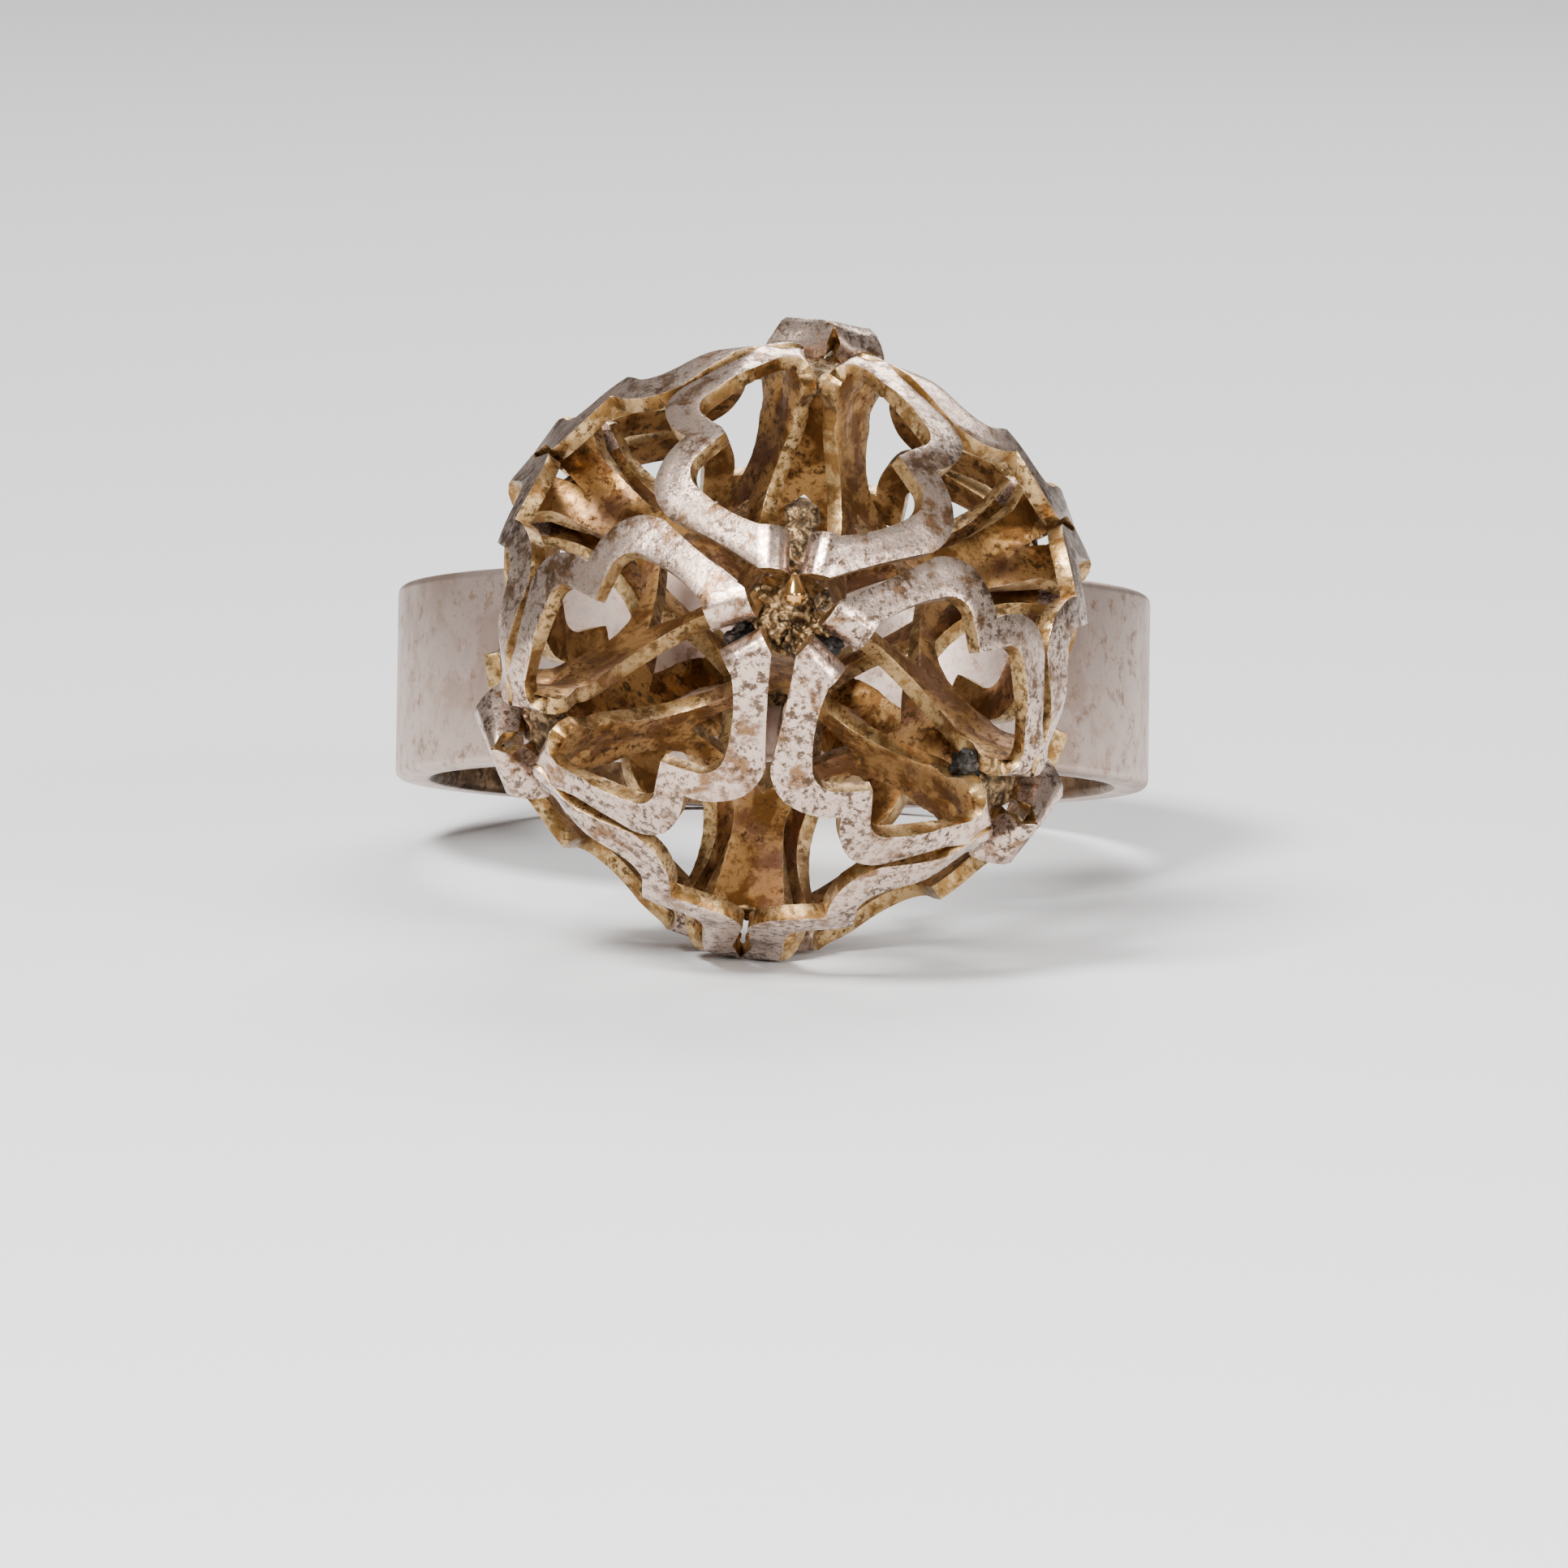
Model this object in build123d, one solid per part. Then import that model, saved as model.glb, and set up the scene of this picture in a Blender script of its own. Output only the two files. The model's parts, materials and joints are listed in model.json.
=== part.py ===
from build123d import *
import math
import os

os.makedirs("parts", exist_ok=True)

# Silver finger ring: a plain flat shank with a large openwork ball soldered on top. All sizes in mm.
# The ball is six pierced and folded sheet rosettes, one on each face of a cube, soldered at the cube's
# eight corners. One corner points straight up the ring and the opposite one sits on the shank.

# shank
FINGER_BORE_DIAMETER = 17.5
SHANK_WALL = 1.0
SHANK_WIDTH = 5.0
SHANK_OUTER_EDGE_ROUND = 0.25
SHANK_INNER_EDGE_ROUND = 0.15

# ball on the shank
BALL_SEAT_HEIGHT = 7.25  # from the shank's outer face up to the ball's middle
BALL_TURN_DEG = 83.0  # about the ring's upright line
BALL_LEAN_DEG = -1.3  # off the upright line, about X: along the finger

# sheet of a rosette
SHEET = 0.40

# rosette plate, dished inwards, with a square hole and a round bite out of each side
PLATE_HALF_SIDE = 4.42
PLATE_DISH_RADIUS = 8.13
PLATE_DISH_CENTRE = 11.21  # from the ball's middle out along the face line
PLATE_HOLE_SIDE = 2.98
PLATE_BITE_RADIUS = 2.50
PLATE_LEG_END = 3.44  # along the side, where a leg stops and the corner fork starts
PLATE_FORK_POINT = 3.80  # bottom of the corner fork, along both sides
PLATE_REACH = 7.28  # the legs stop this far from the ball's middle, and the folds go on from there
ALMOND_START = 3.30
ALMOND_END = 3.62
ALMOND_HALF_WIDTH = 0.14
PLATE_CUTTER_LOW = 2.5
PLATE_CUTTER_HIGH = 6.5

# heart band, domed, its two legs folded back into the plate's legs
BAND_LEAN_DEG = 27.0  # its middle leans from the face line towards the cube's edge
BAND_DOME_RADIUS = 5.70
BAND_DOME_CENTRE = 1.90  # from the ball's middle along the band's own middle line
OUTER_LEG_RISE = 0.72  # a leg is straighter than the dome, and at its foot this far off it
INNER_LEG_RISE = 0.50
LEG_RISE_POWER = 1.7
LOBE_PIECES = 3  # stations along each round of the outline
LEG_PIECES = 4
FOLD_RADIUS = 0.52  # outside, at each leg's foot
FOLD_TURNS_DEG = (40.0, 80.0, 122.0)
TONGUE_LINES = (2.60, 3.45)  # the fold ends inside the plate's leg, between these lines
TONGUE_PLACE = 4.05
TONGUE_INSET = 0.08  # inside both faces of the plate

# The heart outline on the flat plane that touches the dome. One half, mirrored across the edge's middle.
# Along is along the cube's edge from its middle, and across is away from the face's middle.
#   point            along  across
OUTER_HALF = (
    ("cleft",         0.00, -0.78),
    ("lobe shoulder", 0.43, -1.20),
    ("lobe top",      1.32, -1.58),
    ("lobe crown",    1.86, -1.51),
    ("lobe flank",    2.34, -1.24),
    ("leg side",      3.33,  0.14),
    ("leg foot",      4.45,  1.52),
)
INNER_HALF = (
    ("tooth tip",     0.00,  0.24),
    ("tooth root",    0.73, -0.46),
    ("lobe top",      1.04, -0.57),
    ("lobe flank",    1.58, -0.39),
    ("leg side",      2.42,  0.48),
    ("leg foot",      3.00,  1.42),
)

# solder button at each corner of the cube
SOLDER_RADIUS = 1.15  # of its flat top, at the sides' ends
SOLDER_SIDES = 10
SOLDER_HEIGHT = 0.55
SOLDER_DRAFT_DEG = 15.0  # its sides spread downwards
SOLDER_TOP = 7.05  # from the ball's middle out along the corner line
SEAT_TOP = 7.38  # the same for the one that holds the ball on the shank

# resting pose: on its side, standing on the ball and on the far rim of the shank
BALL_REST_REACH = 7.97  # from the ball's middle to the spot that it stands on

CORNER_LEAN_DEG = math.degrees(math.atan(math.sqrt(2.0)))
EIGHTH_TURN = 45.0
QUARTER_TURN = 90.0
HALF_TURN = 180.0


def arc_points(start, middle, end, pieces):
    """Points along the round through three points, without the first."""
    arc = ThreePointArc(start, middle, end)
    places = [arc @ (step / pieces) for step in range(1, pieces + 1)]
    return [(place.X, place.Y) for place in places]


def outline_pairs():
    """Points along the outer and the inner line of half the heart, in pairs, from the cleft to the foot."""
    out = [(across, along) for _, along, across in OUTER_HALF]
    inn = [(across, along) for _, along, across in INNER_HALF]
    outer = [out[0]]
    outer += arc_points(out[0], out[1], out[2], LOBE_PIECES)
    outer += arc_points(out[2], out[3], out[4], LOBE_PIECES)
    outer += arc_points(out[4], out[5], out[6], LEG_PIECES)
    tooth = Line(inn[0], inn[1])
    inner = [inn[0]]
    for step in range(1, LOBE_PIECES + 1):
        place = tooth @ (step / LOBE_PIECES)
        inner.append((place.X, place.Y))
    inner += arc_points(inn[1], inn[2], inn[3], LOBE_PIECES)
    inner += arc_points(inn[3], inn[4], inn[5], LEG_PIECES)
    return list(zip(outer, inner))


def domed(flat, rise):
    """The point of the band over a point of the flat plane, and its way out of the dome."""
    way = Vector(flat[0], flat[1], BAND_DOME_RADIUS).normalized()
    return way * (BAND_DOME_RADIUS + rise) + Vector(0, 0, BAND_DOME_CENTRE), way


def band_stations():
    """Sections of half a band as outer point, inner point, and the ways out of the sheet at both."""
    pairs = outline_pairs()
    leg_start = len(pairs) - 1 - LEG_PIECES
    stations = []
    for number, (outer, inner) in enumerate(pairs):
        share = max(0, number - leg_start) / LEG_PIECES
        rise = share ** LEG_RISE_POWER
        out, out_way = domed(outer, OUTER_LEG_RISE * rise)
        inn, inn_way = domed(inner, INNER_LEG_RISE * rise)
        stations.append((out, inn, out_way, inn_way))
    return stations


def fold_stations(stations):
    """The fold at the foot, turning from the band's last section back towards the plate."""
    out, inn = stations[-1][:2]
    before_out, before_inn = stations[-2][:2]
    side = (out - inn).normalized()
    heading = (out + inn - before_out - before_inn).normalized()
    heading = (heading - side * heading.dot(side)).normalized()
    upward = side.cross(heading)
    if upward.Z < 0:
        upward = -upward
    folds = []
    for turn in FOLD_TURNS_DEG:
        angle = math.radians(turn)
        way = upward * math.cos(angle) + heading * math.sin(angle)
        shift = (way - upward) * FOLD_RADIUS
        folds.append((out + shift, inn + shift, way, way))
    return folds


def tongue_station():
    """The fold's end, inside the sheet of the plate's leg, in the band's own frame."""
    radius = PLATE_DISH_RADIUS + SHEET - TONGUE_INSET
    centre = Vector(0, 0, PLATE_DISH_CENTRE)
    ends = []
    ways = []
    for along in reversed(TONGUE_LINES):
        rise = math.sqrt(radius ** 2 - TONGUE_PLACE ** 2 - along ** 2)
        place = Vector(TONGUE_PLACE, along, PLATE_DISH_CENTRE - rise)
        ends.append(place.rotate(Axis.Y, -BAND_LEAN_DEG))
        ways.append((place - centre).normalized().rotate(Axis.Y, -BAND_LEAN_DEG))
    return (ends[0], ends[1], ways[0], ways[1])


def section(station, thickness):
    """The four corners of the sheet at a station."""
    out, inn, out_way, inn_way = station
    return [out, inn, inn - inn_way * thickness, out - out_way * thickness]


def half_band():
    """Sections from the cleft in the middle of the heart, down one leg and through its fold."""
    band = band_stations()
    sections = [section(station, SHEET) for station in band + fold_stations(band)]
    sections.append(section(tongue_station(), SHEET - 2 * TONGUE_INSET))
    return sections


def flat_face(points):
    return Face(Wire.make_polygon(points, close=True))


def ribbon(sections):
    """A solid through the sections, with flat three-sided faces between them."""
    first = sections[0]
    last = sections[-1]
    faces = [flat_face([first[0], first[1], first[2]]), flat_face([first[0], first[2], first[3]])]
    faces += [flat_face([last[0], last[1], last[2]]), flat_face([last[0], last[2], last[3]])]
    for here, there in zip(sections, sections[1:]):
        for corner in range(4):
            other = corner - 1
            faces.append(flat_face([here[corner], here[other], there[other]]))
            faces.append(flat_face([here[corner], there[other], there[corner]]))
    return Solid(Shell(faces))


def heart_band():
    """One band over the side that faces +X of the rosette that faces +Z."""
    half = half_band()
    mirrored = [[Vector(point.X, -point.Y, point.Z) for point in corners] for corners in half[:0:-1]]
    return Rot(0, BAND_LEAN_DEG, 0) * ribbon(mirrored + half)


def fork_notch():
    end = PLATE_LEG_END
    side = PLATE_HALF_SIDE
    far = side + SHEET
    low = PLATE_FORK_POINT
    inner = [(side, end), (low, low), (end, side)]
    outer = [(end, far), (far, far), (far, end)]
    return make_face(Polyline(*inner, *outer, close=True))


def almond():
    start = ALMOND_START * math.sqrt(2.0)
    stop = ALMOND_END * math.sqrt(2.0)
    middle = (start + stop) / 2
    half = ALMOND_HALF_WIDTH
    outline = Polyline((start, 0), (middle, half), (stop, 0), (middle, -half), close=True)
    return Rot(0, 0, EIGHTH_TURN) * make_face(outline)


def plate_outline():
    outline = Rectangle(2 * PLATE_HALF_SIDE, 2 * PLATE_HALF_SIDE)
    outline -= Rectangle(PLATE_HOLE_SIDE, PLATE_HOLE_SIDE)
    bite = Pos(PLATE_HALF_SIDE, 0) * Circle(PLATE_BITE_RADIUS)
    for quarter in range(4):
        turn = Rot(0, 0, quarter * QUARTER_TURN)
        outline -= turn * bite
        outline -= turn * fork_notch()
        outline -= turn * almond()
    return outline


def plate_back():
    return Pos(0, 0, PLATE_DISH_CENTRE) * Sphere(PLATE_DISH_RADIUS + SHEET)


def rosette():
    """One pierced and folded sheet, facing +Z."""
    depth = PLATE_CUTTER_HIGH - PLATE_CUTTER_LOW
    prism = extrude(Pos(0, 0, PLATE_CUTTER_LOW) * plate_outline(), depth)
    front = Pos(0, 0, PLATE_DISH_CENTRE) * Sphere(PLATE_DISH_RADIUS)
    sheet = (prism & plate_back() & Sphere(PLATE_REACH)) - front
    band = heart_band()
    for quarter in range(4):
        sheet += Rot(0, 0, quarter * QUARTER_TURN) * band
    return sheet


def solder(height, top):
    """A flat lump of solder, on the corner line that points at +Z."""
    lump = extrude(RegularPolygon(SOLDER_RADIUS, SOLDER_SIDES), -height, taper=-SOLDER_DRAFT_DEG)
    return Pos(0, 0, top) * lump


def at_corner(lean, turn, lump):
    return Rot(0, 0, turn) * Rot(0, lean, 0) * lump


def openwork_ball():
    """Six rosettes and eight solder joints, with the cube square to the axes."""
    face = rosette()
    ball = face
    for turn in range(1, 4):
        ball += Rot(turn * QUARTER_TURN, 0, 0) * face
    ball += Rot(0, QUARTER_TURN, 0) * face
    ball += Rot(0, -QUARTER_TURN, 0) * face
    joint = solder(SOLDER_HEIGHT, SOLDER_TOP)
    for lean in (CORNER_LEAN_DEG, HALF_TURN - CORNER_LEAN_DEG):
        for quarter in range(4):
            ball += at_corner(lean, EIGHTH_TURN + quarter * QUARTER_TURN, joint)
    seat = solder(SOLDER_HEIGHT + SEAT_TOP - SOLDER_TOP, SEAT_TOP)
    return ball + at_corner(HALF_TURN - CORNER_LEAN_DEG, EIGHTH_TURN + HALF_TURN, seat)


def corner_up(ball):
    upright = Rot(0, -CORNER_LEAN_DEG, 0) * Rot(0, 0, -EIGHTH_TURN) * ball
    return Rot(BALL_LEAN_DEG, 0, 0) * Rot(0, 0, BALL_TURN_DEG) * upright


def shank():
    """The plain band, its hole along Y."""
    bore = FINGER_BORE_DIAMETER / 2
    section = Rectangle(SHANK_WALL, SHANK_WIDTH)
    section = fillet(section.vertices().sort_by(Axis.X)[2:], SHANK_OUTER_EDGE_ROUND)
    section = fillet(section.vertices().sort_by(Axis.X)[:2], SHANK_INNER_EDGE_ROUND)
    placed = Plane.XZ * (Pos(bore + SHANK_WALL / 2, 0) * section)
    return Rot(QUARTER_TURN, 0, 0) * revolve(placed, Axis.Z)


def ring():
    middle = FINGER_BORE_DIAMETER / 2 + SHANK_WALL + BALL_SEAT_HEIGHT
    return shank() + Pos(0, 0, middle) * corner_up(openwork_ball())


def rest_turn():
    """How far the upright ring is turned, in degrees, to stand on both the ball and the far rim."""
    rise = BALL_REST_REACH - SHANK_OUTER_EDGE_ROUND
    across = SHANK_WIDTH / 2 - SHANK_OUTER_EDGE_ROUND
    along = BALL_SEAT_HEIGHT + FINGER_BORE_DIAMETER + 2 * SHANK_WALL - SHANK_OUTER_EDGE_ROUND
    lean = math.asin(rise / math.hypot(across, along)) - math.atan(across / along)
    return QUARTER_TURN - math.degrees(lean)


def at_rest(part):
    """Laid on its side, centred over the floor and standing on it."""
    turned = Rot(rest_turn(), 0, 0) * part
    box = turned.bounding_box()
    centre = box.center()
    return Pos(-centre.X, -centre.Y, -box.min.Z) * turned


export_step(at_rest(ring()), "parts/ring.step")
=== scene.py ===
import json
import math
import bpy
from mathutils import Matrix, Vector


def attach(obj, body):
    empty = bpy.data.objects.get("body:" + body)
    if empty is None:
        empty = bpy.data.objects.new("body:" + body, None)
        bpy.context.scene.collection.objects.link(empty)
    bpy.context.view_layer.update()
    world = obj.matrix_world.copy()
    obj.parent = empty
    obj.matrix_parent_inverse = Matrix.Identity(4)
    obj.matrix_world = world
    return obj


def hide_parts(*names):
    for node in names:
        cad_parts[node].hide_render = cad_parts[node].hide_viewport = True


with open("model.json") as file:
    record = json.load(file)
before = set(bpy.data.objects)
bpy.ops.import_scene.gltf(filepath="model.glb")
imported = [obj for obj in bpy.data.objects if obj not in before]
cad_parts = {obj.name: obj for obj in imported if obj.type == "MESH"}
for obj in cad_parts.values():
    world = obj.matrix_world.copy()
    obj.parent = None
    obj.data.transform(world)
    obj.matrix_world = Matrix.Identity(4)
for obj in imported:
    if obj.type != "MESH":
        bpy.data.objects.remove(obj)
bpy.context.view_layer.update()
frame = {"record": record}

MM = 0.001

# The ring's own lines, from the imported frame
BORE = frame["record"]["mounts"][0]
BORE_MIDDLE = Vector(BORE["pos_m"])
FINGER_AXIS = Vector(BORE["axis"]).normalized()
SIDEWAYS = Vector((1, 0, 0))
UPRIGHT = SIDEWAYS.cross(FINGER_AXIS).normalized()  # out through the ball
BALL_RISE = 17.0 * MM  # from the bore's middle to the ball's
BALL_MIDDLE = BORE_MIDDLE + BALL_RISE * UPRIGHT

# Where the shank goes, which is made about its own middle, and the ball, which is made on a cube
# whose corner (1, 1, 1) is the ball's top
BALL_LEAN_DEG = -1.3
BALL_TURN_DEG = 83.0
CORNER_LEAN = math.atan(math.sqrt(2))
RING_TURN = Matrix((SIDEWAYS, FINGER_AXIS, UPRIGHT)).transposed().to_4x4()
RING_PLACE = Matrix.Translation(BORE_MIDDLE) @ RING_TURN
BALL_PLACE = (
    RING_PLACE
    @ Matrix.Translation((0, 0, BALL_RISE))
    @ Matrix.Rotation(math.radians(BALL_LEAN_DEG), 4, "X")
    @ Matrix.Rotation(math.radians(BALL_TURN_DEG), 4, "Z")
    @ Matrix.Rotation(-CORNER_LEAN, 4, "Y")
    @ Matrix.Rotation(-math.pi / 4, 4, "Z")
)

# Camera, at the photograph's angle, and how near and far it sees in metres
CAMERA_FROM_BALL = Vector((-5.18, -320.04, 43.37)) * MM
CAMERA_TURN_DEG = (81.65, -0.985, -0.792)
HALF_VIEW_SLOPE = 0.0598  # half the picture's width, over the distance
CLIP_START = 0.01
CLIP_END = 20.0

# Floor, in metres
FLOOR_SIZE = 6.0
FLOOR_COLOUR = (0.7, 0.7, 0.7, 1)

# Shank, its sizes in mm
SHANK_THICK = 1.0
SHANK_WIDTH = 5.0
SHANK_MIDDLE_RADIUS = 9.25
SHANK_EDGE_ROUND = 0.22
SHANK_EDGE_SEGMENTS = 4
SHANK_STEPS = 144
SHANK_WELD = 0.001
BORE_WITHIN = 8.9  # a face whose middle is nearer the finger's line is the bore's

# Sheet of a rosette
SHEET = 0.40 * MM
SHEET_WELD = 0.0005 * MM  # joins the halves, and not two legs that only touch
# The most that the worn edge may be wide, which is burnished wear with a painted highlight along it.
# The bevel narrows it all over a sheet to what the sheet's tightest fold has room for, which is a few
# thousandths of a millimetre.
EDGE_WEAR_AND_HIGHLIGHT = 0.055 * MM
EDGE_WEAR_AND_HIGHLIGHT_SEGMENTS = 2
EDGE_WEAR_AND_HIGHLIGHT_DEG = 50  # sharper edges than this are worn, and get the painted highlight
SMOOTH_DEG = 40  # sharper edges than this stay sharp
CROSS_CUTS = 2  # across a strip of the sheet

# Plate, dished inwards, with a bite out of each side: in mm on the rosette's face, from its middle
DISH_RADIUS = 8.13
DISH_CENTRE = 11.21
BITE_CENTRE = 4.42
BITE_RADIUS = 2.50

# Heart band, domed about a point on its own middle line, and its fold, station by station
BAND_LEAN = math.radians(27.0)
DOME_RADIUS = 5.70
DOME_CENTRE = 1.90
FOLD_DEG = (25, 50, 75, 100, 122)

# The heart's half outline, in mm on the flat plane that touches the dome
#   along   across
OUTER_CLEFT = (0.00, -0.78)
OUTER_LOBE = ((0.43, -1.20), (1.32, -1.58), (1.86, -1.51), (2.34, -1.24))
TOOTH = ((0.00, 0.24), (0.73, -0.46))
INNER_LOBE = ((1.04, -0.57), (1.58, -0.39))

# Panels along the outline: the outer line has a long run and then a short one, the inner line has
# the tooth and then a long run, and both have a leg.
LONG_RUN = 6
SHORT_RUN = 4
LEG_RUN = 7

# A leg, from its lobe to its foot: where its two lines go, how far they are off the dome at the foot,
# as a leg is straighter than the dome, and the fold's radius at the fork's side and at the bite's
#   outer line                    inner line                      rises         folds
LEGS = {
    "open":
        (((3.33, 0.14), (4.45, 1.52)), ((2.42, 0.48), (3.00, 1.42)), (0.72, 0.50), (0.52, 0.52)),
    "closed":
        (((3.33, 0.14), (4.45, 1.52)), ((2.38, 0.36), (2.84, 1.12)), (0.72, 0.46), (0.48, 0.76)),
}
LEGS["short"] = LEGS["closed"]
LEG_RISE_POWER = 1.7

# Plate stations: angle on the bite's round, and the matching point on the arm's middle line
#   bite_deg   u      t
ARM = (
    (180,      1.49,  0.00),
    (168,      1.49,  0.75),
    (156,      1.49,  1.49),
    (146,      2.00,  2.00),
    (137,      2.50,  2.50),
    (129,      2.98,  2.98),
    (122,      3.32,  3.32),
)
# The rest of a leg, up to its fold: how far it is off the bite's round, its fork's side, and how far
# the sheet is lifted off the dish at both
#   bite_deg  bite_t  bite_up   u      t    fork_up
OPEN_FORK = (
    (115,      0.00,   0.03,    3.66,  3.45, -0.01),
    (109,      0.00,   0.08,    3.86,  3.50, -0.03),
    (103,      0.00,   0.19,    4.02,  3.52, -0.07),
    (97,       0.00,   0.36,    4.16,  3.50, -0.13),
)
CLOSED_FORK = (
    (115,      0.00,   0.03,    3.62,  3.52, -0.02),
    (109,      0.00,   0.08,    3.85,  3.68, -0.09),
    (103,      0.01,   0.18,    4.02,  3.80, -0.21),
    (97,       0.04,   0.34,    4.18,  3.92, -0.37),
)
# How far a closed corner's leg slides along its fold's line towards its twin, station by station,
# from the last but two on the leg to the end of the fold
#   outer  inner
CLOSED_SLIDE = (
    (0.16, 0.00), (0.34, 0.12), (0.52, 0.32),
    (0.68, 0.46), (0.78, 0.50), (0.82, 0.50), (0.70, 0.42), (0.56, 0.32),
)
# A short leg stops before the corner. These are the whole moves of its outer and inner line, and the
# share of them that each station gets: those of the plate's fork, and then the fold's and five of the
# leg's, from its foot on.
SHORT_OUTER = Vector((-0.60, -0.40, 0.20))
SHORT_INNER = Vector((-0.30, 0.20, -0.45))
SHORT_FORK = (0.08, 0.30, 0.55, 0.80)
SHORT_FOLD_AND_LEG = (1.00, 1.00, 1.00, 1.00, 1.00, 0.90, 0.62, 0.34, 0.14, 0.04)

# Corners set in or out, in mm on the cube: where, how far, and the reach of the move
CORNER_NUDGES = (
    ((3.69, 4.92, -4.60), (0.26, -0.42, 0.14), 1.5),
    ((5.15, 3.71, -4.79), (-0.11, -0.17, 0.23), 1.5),
)
FACE_TURNS = (
    ("one", "X", 0),
    ("two", "X", 90),
    ("three", "X", 180),
    ("four", "X", 270),
    ("five", "Y", 90),
    ("six", "Y", -90),
)

# Lumps of solder, in mm on the cube. Those in the corners are this far out along each of the cube's
# lines, and this big; the others are in the table.
#   across  height  rough
CORNER_LUMP = (2.0, 0.8, 0.40)
TOP_LUMP = (2.0, 0.9, 0.50)
CORNER_LUMP_OUT = 3.86
TOP_LUMP_OUT = 3.76
#   name                 middle                across  height  rough  finish
LUMPS = (
    ("solder_black",      (4.15, -2.60, 4.15),  0.85,   0.75,   0.45,  "black_solder"),
    ("solder_dark_left",  (2.80, 4.25, 4.48),   0.80,   0.40,   0.30,  "black_solder"),
    ("solder_dark_right", (4.35, 2.90, 4.40),   0.80,   0.40,   0.30,  "black_solder"),
    ("solder_seam_1",     (4.02, 4.02, 0.9),    0.90,   0.40,   0.20,  "solder"),
    ("solder_seam_2",     (4.02, 4.02, 1.6),    0.90,   0.40,   0.20,  "solder"),
    ("solder_seam_3",     (4.02, 4.02, 2.3),    0.90,   0.40,   0.20,  "solder"),
    ("solder_seam_4",     (4.02, 4.02, 3.0),    0.90,   0.40,   0.20,  "solder"),
    ("solder_grain_1",    (3.56, 3.99, 4.29),   0.85,   0.60,   0.45,  "solder"),
    ("solder_grain_2",    (4.58, 3.27, 4.05),   0.85,   0.60,   0.45,  "solder"),
    ("solder_grain_3",    (3.91, 3.44, 4.47),   0.85,   0.60,   0.45,  "solder"),
)
LUMP_SUBDIVISIONS = 5
LUMP_SMOOTH_DEG = 50
UNDERSIDE = -0.1  # of the height: what is lower is pressed flat, by as much as the next line says
UNDERSIDE_PRESS = (0.8, 0.8, 0.5)
ROUGHNESS_SIZE = 0.30  # of the clouds that make a lump rough
ROUGHNESS_DEPTH = 3

# A round bead of solder, drawn out to a drop, in mm on the cube
BEAD_MIDDLE = Vector((4.56, 4.46, 4.08))
BEAD_WIDTH = 0.56
BEAD_WAY = Vector((0.23, 0.37, -0.53))
BEAD_STRETCH = 1.9
BEAD_TAPER = 0.4

# Finishes of the tarnished silver, in three lines each: the colours, linear; the sizes of patches and
# of specks in mm, each with its share of the surface; the roughness, and the bump
#   clean                 tarnish                soot
#   patch_mm, patch_share, speck_mm, speck_share
#   rough_low, rough_high, bump
FINISHES = {
    "band_face": (
        (0.63, 0.470, 0.380), (0.23, 0.122, 0.060), (0.055, 0.034, 0.021),
        0.8, 0.33, 0.21, 0.44,
        0.17, 0.44, 0.35),
    "band_inside": (
        (0.37, 0.210, 0.080), (0.15, 0.068, 0.018), (0.035, 0.018, 0.007),
        0.8, 0.50, 0.26, 0.38,
        0.30, 0.60, 0.40),
    "band_edge": (
        (0.45, 0.295, 0.135), (0.20, 0.102, 0.030), (0.050, 0.028, 0.011),
        0.6, 0.46, 0.20, 0.40,
        0.25, 0.50, 0.45),
    "plate_under": (
        (0.42, 0.225, 0.075), (0.15, 0.062, 0.014), (0.032, 0.016, 0.006),
        0.9, 0.50, 0.26, 0.38,
        0.28, 0.58, 0.40),
    "plate_top": (
        (0.43, 0.235, 0.080), (0.155, 0.066, 0.015), (0.032, 0.016, 0.006),
        0.8, 0.50, 0.24, 0.36,
        0.26, 0.56, 0.40),
    "plate_edge": (
        (0.45, 0.295, 0.130), (0.20, 0.102, 0.030), (0.050, 0.028, 0.011),
        0.6, 0.46, 0.20, 0.40,
        0.25, 0.50, 0.45),
    # The sheets' worn edges: burnished wear, and a painted highlight that makes them bright and near
    # white all along
    "worn_and_highlit_edge": (
        (0.96, 0.86, 0.74), (0.66, 0.490, 0.300), (0.200, 0.135, 0.070),
        0.7, 0.36, 0.22, 0.20,
        0.10, 0.26, 0.10),
    "shank_face": (
        (0.53, 0.410, 0.350), (0.43, 0.305, 0.245), (0.250, 0.150, 0.095),
        2.0, 0.40, 0.50, 0.32,
        0.34, 0.48, 0.12),
    "shank_bore": (
        (0.22, 0.138, 0.075), (0.10, 0.052, 0.022), (0.030, 0.017, 0.009),
        2.0, 0.50, 0.50, 0.40,
        0.34, 0.55, 0.20),
    "solder": (
        (0.26, 0.170, 0.082), (0.105, 0.062, 0.027), (0.016, 0.012, 0.010),
        0.40, 0.50, 0.20, 0.46,
        0.22, 0.55, 1.00),
    "black_solder": (
        (0.060, 0.050, 0.042), (0.030, 0.026, 0.022), (0.008, 0.008, 0.008),
        0.30, 0.50, 0.20, 0.60,
        0.20, 0.60, 1.00),
    "amber_bead": (
        (0.58, 0.34, 0.13), (0.42, 0.22, 0.07), (0.200, 0.100, 0.035),
        0.40, 0.45, 0.25, 0.20,
        0.10, 0.22, 0.10),
}
METALLIC = 0.92
BLOOM = (0.44, 0.265, 0.235)  # the lilac breath that tarnish leaves on the plates

# Clouds of noise in the finishes: detail, roughness and, for the patches, distortion
PATCH_CLOUD = (5, 0.62, 0.4)
SPECK_CLOUD = (10, 0.78)
# The same with the size in mm first, for those that have one size in every finish
SOOTY_AREA_CLOUD = (1.7, 4, 0.6)
BLOOM_CLOUD = (1.5, 3, 0.5)
RELIEF_CLOUD = (0.14, 6, 0.65)
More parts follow.
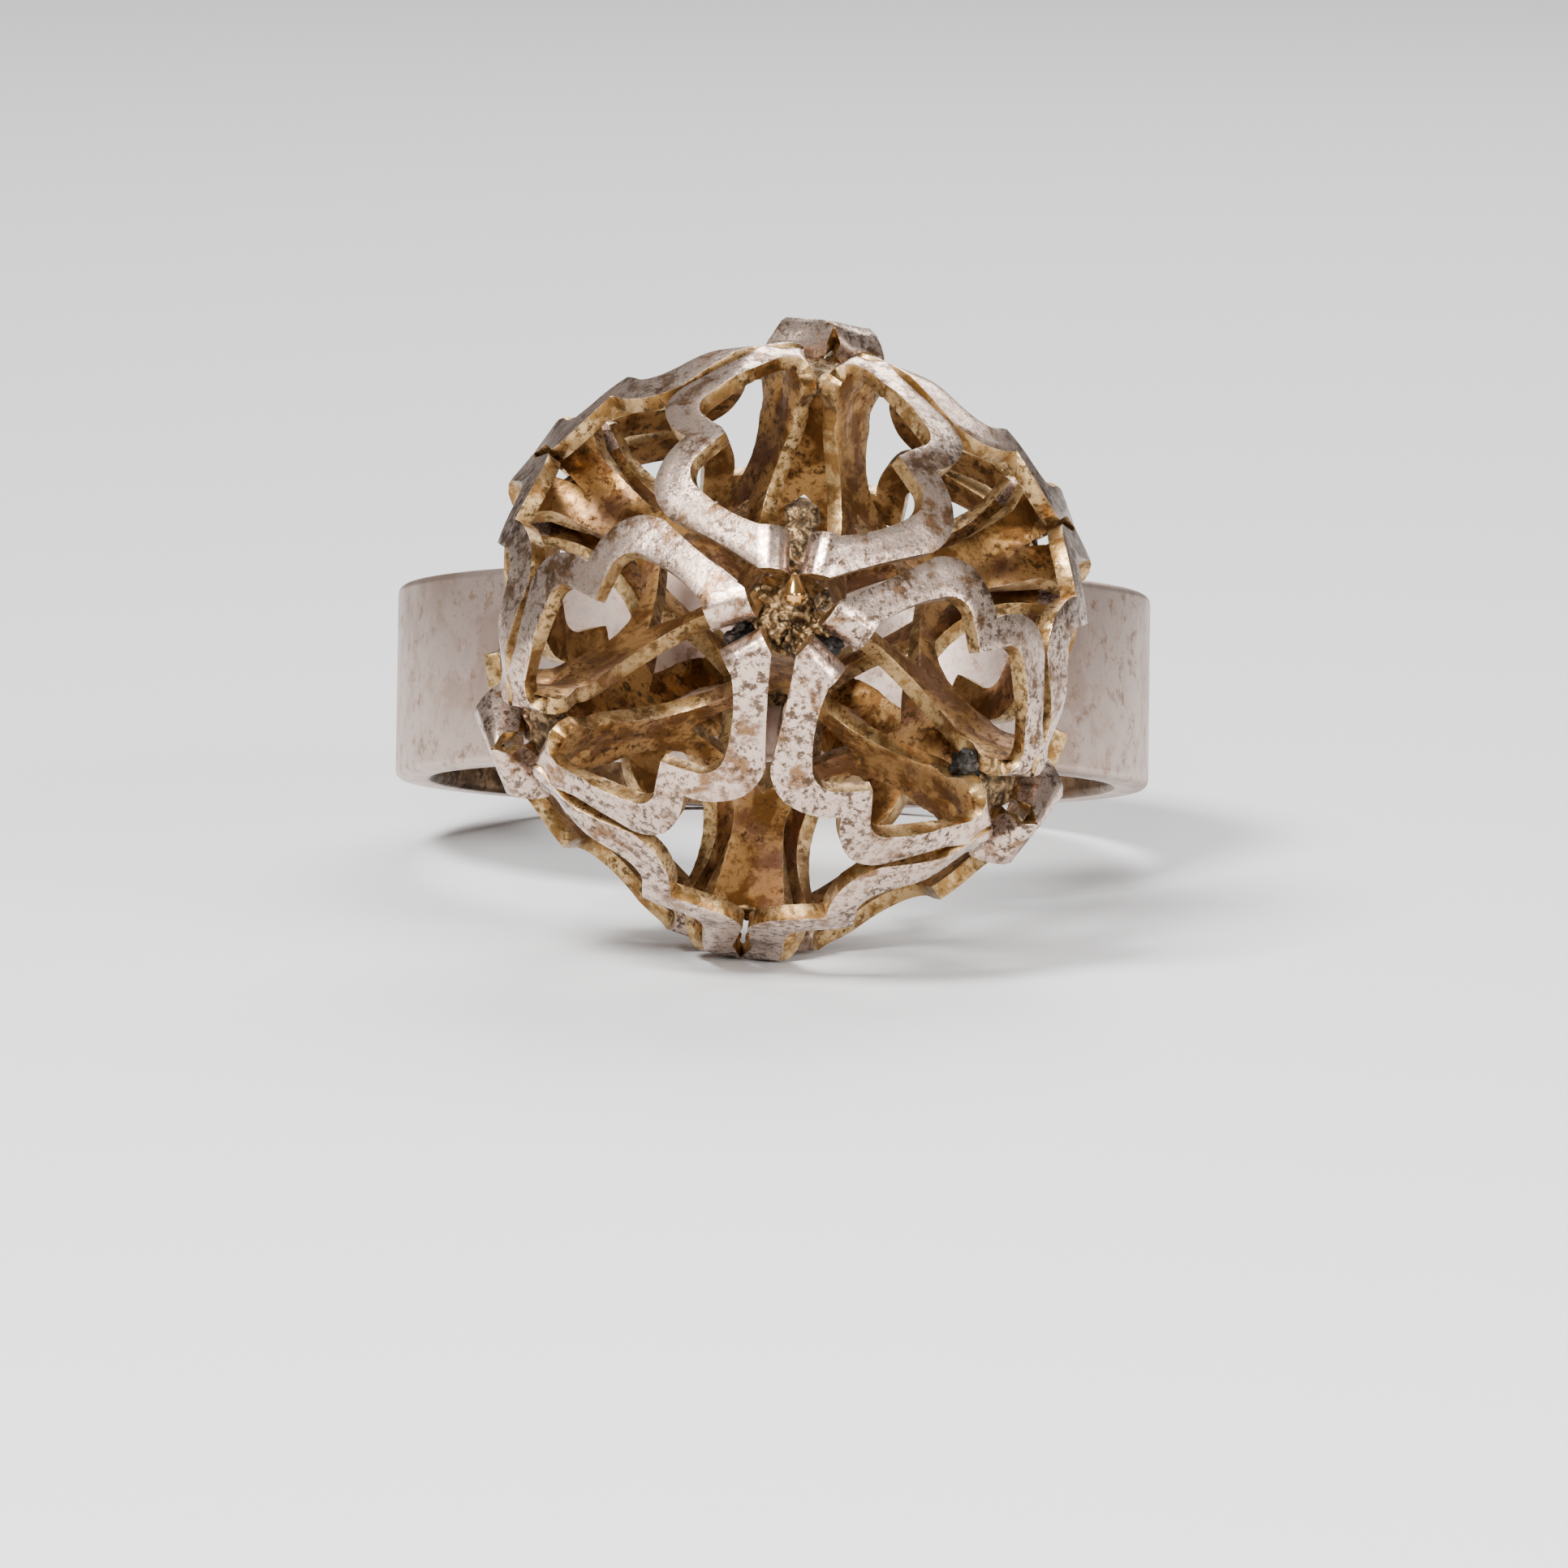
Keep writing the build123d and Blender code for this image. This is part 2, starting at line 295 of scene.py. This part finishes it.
# A layer lies where its cloud is above a level, and soft says how far the change spreads to each side
# of it. The level for a share of the surface is as far from the cloud's middle as the spread says.
CLOUD_MIDDLE = 0.5
CLOUD_SPREAD = 0.42
PATCH_SOFT = 0.07
SPECK_SOFT = 0.035
#   level  soft
SOOTY_AREA = (0.46, 0.10)
BLOOM_AREA = (0.56, 0.10)
STAIN_SPECKS = (0.53, 0.05)
# How much each layer covers, where it is
BLOOM_COVER = 0.20
STAIN_COVER = 0.65
SOOT_COVER = 0.85
# The specks' levels between which the roughness runs, and the height of the relief in mm
ROUGH_FROM = 0.35
ROUGH_TO = 0.65
RELIEF_HEIGHT = 0.03

# A Mix node's sockets for colours
MIX_UNDER = 6
MIX_OVER = 7
MIX_RESULT = 2

# The rosettes' finishes in the order of their slots. The sheet's wall takes the finish after its
# face's for its far side, and the one after that for its rim.
SHEET_SLOTS = (
    "band_face", "band_inside", "band_edge", "plate_under", "plate_top", "plate_edge", "worn_and_highlit_edge")
TO_FAR_SIDE = 1
TO_RIM = 2
SHANK_SLOTS = ("shank_face", "shank_bore")
SOLDER_NAMES = ("solder", "black_solder", "amber_bead")

# Soft light from all round, and the lamps
ROOM_COLOUR = (0.80, 0.80, 0.82, 1)
ROOM_STRENGTH = 0.13
#   lamp      from the ball, mm   across, mm  power, W
LAMPS = (
    ("key",   (-120, -180, 230),  90,         2.7),
    ("fill",  (200, -210, 90),    100,        0.8),
    ("front", (-30, -330, 130),   50,         0.7),
    ("back",  (60, 210, 240),     200,        1.3),
)


def add_camera():
    data = bpy.data.cameras.new("camera")
    camera = bpy.data.objects.new("camera", data)
    bpy.context.scene.collection.objects.link(camera)
    camera.location = BALL_MIDDLE + CAMERA_FROM_BALL
    camera.rotation_euler = [math.radians(turn) for turn in CAMERA_TURN_DEG]
    data.lens = data.sensor_width / 2 / HALF_VIEW_SLOPE
    data.clip_start = CLIP_START
    data.clip_end = CLIP_END
    bpy.context.scene.camera = camera


def add_floor():
    bpy.ops.mesh.primitive_plane_add(size=FLOOR_SIZE, location=(0, 0, 0))
    floor = bpy.context.object
    floor.name = "floor"
    material = bpy.data.materials.new("floor")
    material.use_nodes = True
    material.node_tree.nodes["Principled BSDF"].inputs["Base Color"].default_value = FLOOR_COLOUR
    floor.data.materials.append(material)


def add_room_light():
    world = bpy.data.worlds.new("world")
    bpy.context.scene.world = world
    world.use_nodes = True
    background = world.node_tree.nodes["Background"]
    background.inputs["Color"].default_value = ROOM_COLOUR
    background.inputs["Strength"].default_value = ROOM_STRENGTH


def add_lamp(name, offset, across, power):
    """A square soft lamp that looks at the ball."""
    bpy.ops.object.light_add(type="AREA", location=BALL_MIDDLE + Vector(offset) * MM)
    lamp = bpy.context.object
    lamp.name = "lamp_" + name
    lamp.data.energy = power
    lamp.data.size = across * MM
    lamp.rotation_euler = (BALL_MIDDLE - lamp.location).to_track_quat("-Z", "Y").to_euler()


def deselect():
    if bpy.context.object and bpy.context.object.mode != "OBJECT":
        bpy.ops.object.mode_set(mode="OBJECT")
    bpy.ops.object.select_all(action="DESELECT")


def select_only(piece):
    deselect()
    piece.select_set(True)
    bpy.context.view_layer.objects.active = piece


def edit_all(piece):
    select_only(piece)
    bpy.ops.object.mode_set(mode="EDIT")
    bpy.ops.mesh.select_mode(type="VERT")
    bpy.ops.mesh.select_all(action="SELECT")


def pick_vertices(piece, wanted):
    """Selects only the vertices that the test takes, and leaves the piece in edit mode."""
    bpy.ops.object.mode_set(mode="EDIT")
    bpy.ops.mesh.select_mode(type="VERT")
    bpy.ops.mesh.select_all(action="DESELECT")
    bpy.ops.object.mode_set(mode="OBJECT")
    for vertex in piece.data.vertices:
        vertex.select = wanted(vertex)
    bpy.ops.object.mode_set(mode="EDIT")


def move_vertex(piece, index, goal):
    shift = goal - piece.data.vertices[index].co
    pick_vertices(piece, lambda vertex: vertex.index == index)
    bpy.ops.transform.translate(value=shift)
    bpy.ops.object.mode_set(mode="OBJECT")


def apply_modifier(piece, kind, **settings):
    select_only(piece)
    modifier = piece.modifiers.new(kind.lower(), kind)
    for key, value in settings.items():
        setattr(modifier, key, value)
    bpy.ops.object.modifier_apply(modifier=modifier.name)


def place(piece, matrix):
    """Puts the piece there, with its place in its mesh."""
    select_only(piece)
    piece.matrix_world = matrix @ piece.matrix_world
    bpy.ops.object.transform_apply(location=True, rotation=True, scale=True)


def copy_of(piece, name):
    twin = piece.copy()
    twin.data = piece.data.copy()
    twin.name = name
    twin.data.name = name
    bpy.context.scene.collection.objects.link(twin)
    return twin


def join(pieces, name):
    deselect()
    for piece in pieces:
        piece.select_set(True)
    bpy.context.view_layer.objects.active = pieces[0]
    bpy.ops.object.join()
    pieces[0].name = name
    pieces[0].data.name = name
    return pieces[0]


def declare(piece):
    """Every piece here is soldered to the rest, and stands for a part of the one solid."""
    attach(piece, "root")
    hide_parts("ring")


def tarnished(name):
    """Worn silver with warm tarnish in patches and dark soot in specks, by the table."""
    (clean, tarnish, soot, patch_mm, patch_share, speck_mm, speck_share,
     rough_low, rough_high, bump) = FINISHES[name]
    material = bpy.data.materials.new(name)
    material.use_nodes = True
    nodes, links = material.node_tree.nodes, material.node_tree.links
    shader = nodes["Principled BSDF"]
    shader.inputs["Metallic"].default_value = METALLIC
    place_on = nodes.new("ShaderNodeTexCoord").outputs["Object"]

    def cloud(size_mm, detail, roughness, distortion=0.0):
        noise = nodes.new("ShaderNodeTexNoise")
        noise.inputs["Scale"].default_value = 1 / (size_mm * MM)
        noise.inputs["Detail"].default_value = detail
        noise.inputs["Roughness"].default_value = roughness
        noise.inputs["Distortion"].default_value = distortion
        links.new(place_on, noise.inputs["Vector"])
        return noise.outputs["Fac"]

    def above(value, level, soft):
        step = nodes.new("ShaderNodeMapRange")
        step.interpolation_type = "SMOOTHSTEP"
        step.inputs["From Min"].default_value = level - soft
        step.inputs["From Max"].default_value = level + soft
        links.new(value, step.inputs["Value"])
        return step.outputs["Result"]

    def level_for(share):
        return CLOUD_MIDDLE + CLOUD_SPREAD * (CLOUD_MIDDLE - share)

    def times(one, other):
        product = nodes.new("ShaderNodeMath")
        product.operation = "MULTIPLY"
        for socket, value in zip(product.inputs, (one, other)):
            if isinstance(value, float):
                socket.default_value = value
            else:
                links.new(value, socket)
        return product.outputs["Value"]

    def blend(share, under, over):
        mix = nodes.new("ShaderNodeMix")
        mix.data_type = "RGBA"
        links.new(share, mix.inputs["Factor"])
        for socket, colour in ((mix.inputs[MIX_UNDER], under), (mix.inputs[MIX_OVER], over)):
            if isinstance(colour, tuple):
                socket.default_value = (*colour, 1)
            else:
                links.new(colour, socket)
        return mix.outputs[MIX_RESULT]

    patches = cloud(patch_mm, *PATCH_CLOUD)
    specks = cloud(speck_mm, *SPECK_CLOUD)
    where_tarnished = above(patches, level_for(patch_share), PATCH_SOFT)
    where_sooty = times(
        above(specks, level_for(speck_share), SPECK_SOFT), above(cloud(*SOOTY_AREA_CLOUD), *SOOTY_AREA))
    colour = blend(where_tarnished, clean, tarnish)
    if name.startswith("plate"):
        colour = blend(times(above(cloud(*BLOOM_CLOUD), *BLOOM_AREA), BLOOM_COVER), colour, BLOOM)
    colour = blend(times(above(specks, *STAIN_SPECKS), STAIN_COVER), colour, tarnish)
    colour = blend(times(where_sooty, SOOT_COVER), colour, soot)
    links.new(colour, shader.inputs["Base Color"])
    rough = nodes.new("ShaderNodeMapRange")
    rough.inputs["From Min"].default_value = ROUGH_FROM
    rough.inputs["From Max"].default_value = ROUGH_TO
    rough.inputs["To Min"].default_value = rough_low
    rough.inputs["To Max"].default_value = rough_high
    links.new(specks, rough.inputs["Value"])
    links.new(rough.outputs["Result"], shader.inputs["Roughness"])
    relief = nodes.new("ShaderNodeBump")
    relief.inputs["Strength"].default_value = bump
    relief.inputs["Distance"].default_value = RELIEF_HEIGHT * MM
    links.new(cloud(*RELIEF_CLOUD), relief.inputs["Height"])
    links.new(relief.outputs["Normal"], shader.inputs["Normal"])
    return material


def strip(name, stations):
    """A strip of sheet through the stations, pulled out edge by edge from its first panel."""
    deselect()
    bpy.ops.mesh.primitive_plane_add(size=1 * MM, location=(0, 0, 0))
    piece = bpy.context.object
    piece.name = name
    corners = (stations[0][0], stations[0][1], stations[1][0], stations[1][1])
    for index, corner in enumerate(corners):
        move_vertex(piece, index, corner)
    for left, right in stations[2:]:
        count = len(piece.data.vertices)
        pick_vertices(piece, lambda vertex: vertex.index >= count - 2)
        bpy.ops.mesh.extrude_region_move(TRANSFORM_OT_translate={"value": (0, 0, 0)})
        bpy.ops.object.mode_set(mode="OBJECT")
        before = [piece.data.vertices[index].co.copy() for index in (count - 2, count - 1)]
        for index in (count, count + 1):
            here = piece.data.vertices[index].co
            goal = left if (here - before[0]).length < (here - before[1]).length else right
            move_vertex(piece, index, goal)
    return piece


def arc(start, middle, end, parts):
    """Points of the round through three points, without the first."""
    (ax, ay), (bx, by), (cx, cy) = start, middle, end
    four_areas = 2 * (ax * (by - cy) + bx * (cy - ay) + cx * (ay - by))
    a2, b2, c2 = ax * ax + ay * ay, bx * bx + by * by, cx * cx + cy * cy
    ox = (a2 * (by - cy) + b2 * (cy - ay) + c2 * (ay - by)) / four_areas
    oy = (a2 * (cx - bx) + b2 * (ax - cx) + c2 * (bx - ax)) / four_areas
    radius = math.hypot(ax - ox, ay - oy)
    first = math.atan2(ay - oy, ax - ox)
    between = math.atan2(by - oy, bx - ox)
    last = math.atan2(cy - oy, cx - ox)
    sweep = (last - first) % math.tau
    if (between - first) % math.tau > sweep:
        sweep -= math.tau
    turns = [first + sweep * step / parts for step in range(1, parts + 1)]
    return [(ox + radius * math.cos(turn), oy + radius * math.sin(turn)) for turn in turns]


def on_band(along, across, rise):
    """A point of the band's outer face, in the rosette's own frame, its middle line leaning to +X."""
    ray = Vector((across, along, DOME_RADIUS)).normalized() * (DOME_RADIUS + rise)
    ray.z += DOME_CENTRE
    return Matrix.Rotation(BAND_LEAN, 3, "Y") @ ray


def on_plate_back(u, t, up):
    """A point of the plate's inner face, lifted off the dish by so much."""
    radius = DISH_RADIUS + SHEET / MM
    return Vector((u, t, DISH_CENTRE - math.sqrt(radius ** 2 - u * u - t * t) + up))


def half_outline(outer_leg, inner_leg):
    """Matching points along the outer and inner lines, from the cleft to the foot."""
    outer = [OUTER_CLEFT]
    outer += arc(OUTER_CLEFT, OUTER_LOBE[0], OUTER_LOBE[1], LONG_RUN)
    outer += arc(OUTER_LOBE[1], OUTER_LOBE[2], OUTER_LOBE[3], SHORT_RUN)
    outer += arc(OUTER_LOBE[3], outer_leg[0], outer_leg[1], LEG_RUN)
    tip, root = Vector(TOOTH[0]), Vector(TOOTH[1])
    inner = [tuple(tip.lerp(root, step / SHORT_RUN)) for step in range(SHORT_RUN + 1)]
    inner += arc(TOOTH[1], INNER_LOBE[0], INNER_LOBE[1], LONG_RUN)
    inner += arc(INNER_LOBE[1], inner_leg[0], inner_leg[1], LEG_RUN)
    return list(zip(outer, inner))


def fold_stations(band, fork_radius, bite_radius):
    """The fold at the foot, turning back under the band's last station."""
    inn, out = band[-1]
    side = (out - inn).normalized()
    heading = inn + out - band[-2][0] - band[-2][1]
    heading = (heading - side * heading.dot(side)).normalized()
    upward = side.cross(heading).normalized()
    if upward.z < 0:
        upward = -upward
    stations = []
    for degrees in FOLD_DEG:
        turn = math.radians(degrees)
        shift = upward * (math.cos(turn) - 1) + heading * math.sin(turn)
        stations.append((inn + shift * bite_radius, out + shift * fork_radius))
    return stations


def plate_stations(kind):
    """Out along the arm, from the square hole's side to the fold."""
    rows = [(degrees, 0, 0, u, t, 0) for degrees, u, t in ARM]
    rows += OPEN_FORK if kind == "open" else CLOSED_FORK
    stations = []
    for degrees, bite_t, bite_up, u, t, fork_up in rows:
        turn = math.radians(degrees)
        bite_u = BITE_CENTRE + BITE_RADIUS * math.cos(turn)
        bite_t += BITE_RADIUS * math.sin(turn)
        stations.append((on_plate_back(bite_u, bite_t, bite_up), on_plate_back(u, t, fork_up)))
    return stations


def band_stations(kind):
    """Along half a heart, from its tooth to its foot, and round the fold."""
    outer_leg, inner_leg, (outer_rise, inner_rise), (fork_fold, bite_fold) = LEGS[kind]
    outline = half_outline(outer_leg, inner_leg)
    leg_start = len(outline) - 1 - LEG_RUN
    band = []
    for index, (out, inn) in enumerate(outline):
        rise = (max(0, index - leg_start) / LEG_RUN) ** LEG_RISE_POWER
        band.append((on_band(*inn, inner_rise * rise), on_band(*out, outer_rise * rise)))
    band += fold_stations(band, fork_fold, bite_fold)
    if kind != "open":
        for index, (outer_slide, inner_slide) in enumerate(CLOSED_SLIDE, len(band) - len(CLOSED_SLIDE)):
            inn, out = band[index]
            way = (out - inn).normalized()
            band[index] = (inn + way * inner_slide, out + way * outer_slide)
    return band


def half_heart(kind):
    """All stations of a half: out along the arm, round the fold and back over the band to the tooth."""
    stations = plate_stations(kind) + band_stations(kind)[::-1]
    if kind == "short":
        for index, share in enumerate(SHORT_FORK + SHORT_FOLD_AND_LEG, len(ARM)):
            inn, out = stations[index]
            stations[index] = (inn + SHORT_INNER * share, out + SHORT_OUTER * share)
    return [(left * MM, right * MM) for left, right in stations]


def make_half(kind):
    """Half of one side of a rosette, still without thickness: half a heart and half its arm."""
    half = strip("half_" + kind, half_heart(kind))
    for finish in SHEET_FINISHES:
        half.data.materials.append(finish)
    band_face = SHEET_SLOTS.index("band_face")
    plate_under = SHEET_SLOTS.index("plate_under")
    plate_panels = len(ARM) + len(OPEN_FORK) - 1
    for polygon in half.data.polygons:
        polygon.material_index = plate_under if polygon.index < plate_panels else band_face
    edit_all(half)
    bpy.ops.mesh.select_all(action="DESELECT")
    bpy.ops.object.mode_set(mode="OBJECT")
    for edge in half.data.edges:  # only those across the strip, from a station's one vertex to its other
        low, high = sorted(edge.vertices)
        edge.select = low % 2 == 0 and high == low + 1
    bpy.ops.object.mode_set(mode="EDIT")
    bpy.ops.mesh.select_mode(type="EDGE")
    bpy.ops.mesh.subdivide(number_cuts=CROSS_CUTS)
    bpy.ops.object.mode_set(mode="OBJECT")
    return half


def nudge(piece, centre, shift, reach):
    """Moves the sheet near a place, less and less out to its reach."""
    for vertex in piece.data.vertices:
        near = 1 - (vertex.co - centre).length / reach
        if near > 0:
            vertex.co += shift * near * near * (3 - 2 * near)


def leg_kind(corner, face):
    """How the legs of the rosette on that face end at that corner of the cube."""
    below = sum(1 for side in corner if side < 0)
    if below == 0:
        return "open"
    return "short" if below == 1 and sum(face) > 0 else "closed"


def make_rosette(name, turn):
    """One sheet, turned to its face of the cube, from eight halves."""
    face = turn @ Vector((0, 0, 1))
    parts = []
    for quarter in range(4):
        for hand in (1, -1):
            corner_deg = 45 + 90 * (quarter if hand > 0 else quarter - 1)
            corner = Matrix.Rotation(math.radians(corner_deg), 4, "Z") @ Vector((math.sqrt(2), 0, 1))
            half = copy_of(HALVES[leg_kind(turn @ corner, face)], "part")
            place(half, Matrix.Rotation(quarter * math.pi / 2, 4, "Z") @ Matrix.Diagonal((1, hand, 1, 1)))
            parts.append(half)
    rosette = join(parts, name)
    edit_all(rosette)
    bpy.ops.mesh.remove_doubles(threshold=SHEET_WELD)
    bpy.ops.mesh.normals_make_consistent(inside=False)
    bpy.ops.object.mode_set(mode="OBJECT")
    top = max(rosette.data.polygons, key=lambda polygon: polygon.center.z)
    if top.normal.z < 0:  # the outer face of the sheet looks out of the ball
        edit_all(rosette)
        bpy.ops.mesh.flip_normals()
        bpy.ops.object.mode_set(mode="OBJECT")
    place(rosette, turn)
    for centre, shift, reach in CORNER_NUDGES:
        nudge(rosette, Vector(centre) * MM, Vector(shift) * MM, reach * MM)
    apply_modifier(
        rosette, "SOLIDIFY", thickness=SHEET, offset=-1.0, use_even_offset=True, use_quality_normals=True,
        material_offset=TO_FAR_SIDE, material_offset_rim=TO_RIM)
    # The bevel rounds the sheet's edges and gives them the worn edge's finish, which paints a highlight
    # along them
    apply_modifier(
        rosette, "BEVEL", width=EDGE_WEAR_AND_HIGHLIGHT, segments=EDGE_WEAR_AND_HIGHLIGHT_SEGMENTS, limit_method="ANGLE",
        angle_limit=math.radians(EDGE_WEAR_AND_HIGHLIGHT_DEG), material=SHEET_SLOTS.index("worn_and_highlit_edge"))
    place(rosette, BALL_PLACE)
    bpy.ops.object.shade_smooth_by_angle(angle=math.radians(SMOOTH_DEG))
    declare(rosette)


def make_shank():
    """The outline of a section with rounded corners, spun about the finger's line."""
    deselect()
    bpy.ops.mesh.primitive_plane_add(size=SHANK_THICK * MM, location=(SHANK_MIDDLE_RADIUS * MM, 0, 0))
    shank = bpy.context.object
    shank.name = "shank"
    bpy.ops.object.mode_set(mode="EDIT")
    bpy.ops.mesh.select_all(action="SELECT")
    bpy.ops.transform.resize(value=(1, SHANK_WIDTH / SHANK_THICK, 1))
    bpy.ops.mesh.bevel(offset=SHANK_EDGE_ROUND * MM, segments=SHANK_EDGE_SEGMENTS, affect="VERTICES")
    bpy.ops.mesh.select_all(action="SELECT")
    bpy.ops.mesh.delete(type="ONLY_FACE")
    bpy.ops.mesh.select_all(action="SELECT")
    bpy.ops.mesh.spin(steps=SHANK_STEPS, angle=math.tau, center=(0, 0, 0), axis=(0, 1, 0))
    bpy.ops.mesh.select_all(action="SELECT")
    bpy.ops.mesh.remove_doubles(threshold=SHANK_WELD * MM)
    bpy.ops.mesh.normals_make_consistent(inside=False)
    bpy.ops.object.mode_set(mode="OBJECT")
    bpy.ops.object.shade_smooth_by_angle(angle=math.radians(SMOOTH_DEG))
    for name in SHANK_SLOTS:
        shank.data.materials.append(tarnished(name))
    for polygon in shank.data.polygons:
        middle = shank.matrix_world @ polygon.center
        middle.y = 0
        finish = "shank_bore" if middle.length < BORE_WITHIN * MM else "shank_face"
        polygon.material_index = SHANK_SLOTS.index(finish)
    place(shank, RING_PLACE)
    declare(shank)


def add_lump(name, where, across, height, rough, finish):
    """A lump with its underside pressed flat, towards the ball's middle."""
    deselect()
    bpy.ops.mesh.primitive_ico_sphere_add(subdivisions=LUMP_SUBDIVISIONS, radius=across / 2 * MM)
    lump = bpy.context.object
    lump.name = name
    edit_all(lump)
    bpy.ops.transform.resize(value=(1, 1, height / across))
    pick_vertices(lump, lambda vertex: vertex.co.z < UNDERSIDE * height * MM)
    bpy.ops.transform.resize(value=UNDERSIDE_PRESS)
    bpy.ops.object.mode_set(mode="OBJECT")
    lump.data.materials.append(SOLDER_FINISHES[finish])
    turn = Vector(where).to_track_quat("Z", "X").to_matrix().to_4x4()
    place(lump, BALL_PLACE @ Matrix.Translation(Vector(where) * MM) @ turn)
    if rough:
        apply_modifier(
            lump, "DISPLACE", texture=ROUGHNESS, texture_coords="GLOBAL", strength=rough * MM,
            mid_level=CLOUD_MIDDLE)
    bpy.ops.object.shade_smooth_by_angle(angle=math.radians(LUMP_SMOOTH_DEG))
    declare(lump)
    return lump


def draw_out(bead):
    """Stretches and tapers the bead's far half along its way."""
    middle = BALL_PLACE @ (BEAD_MIDDLE * MM)
    way = BALL_PLACE.to_3x3() @ BEAD_WAY.normalized()
    for vertex in bead.data.vertices:
        along = (vertex.co - middle).dot(way)
        if along > 0:
            side = vertex.co - middle - way * along
            taper = 1 - BEAD_TAPER * along / (BEAD_WIDTH / 2 * MM)
            vertex.co = middle + way * along * BEAD_STRETCH + side * taper


add_camera()
add_floor()

SHEET_FINISHES = [tarnished(name) for name in SHEET_SLOTS]
HALVES = {kind: make_half(kind) for kind in LEGS}
for number, axis, degrees in FACE_TURNS:
    make_rosette("rosette_" + number, Matrix.Rotation(math.radians(degrees), 4, axis))
for half in HALVES.values():
    bpy.data.objects.remove(half)

make_shank()

SOLDER_FINISHES = {name: tarnished(name) for name in SOLDER_NAMES}
ROUGHNESS = bpy.data.textures.new("solder_lumps", "CLOUDS")
ROUGHNESS.noise_scale = ROUGHNESS_SIZE * MM
ROUGHNESS.noise_depth = ROUGHNESS_DEPTH
for index in range(8):
    corner = Vector([1 if index & bit else -1 for bit in (1, 2, 4)])
    if min(corner) > 0:
        add_lump("solder_top", corner * TOP_LUMP_OUT, *TOP_LUMP, "solder")
    else:
        add_lump(f"solder_{index + 1}", corner * CORNER_LUMP_OUT, *CORNER_LUMP, "solder")
for lump in LUMPS:
    add_lump(*lump)
draw_out(add_lump("solder_bead", BEAD_MIDDLE, BEAD_WIDTH, BEAD_WIDTH, 0.0, "amber_bead"))

add_room_light()
for lamp in LAMPS:
    add_lamp(*lamp)
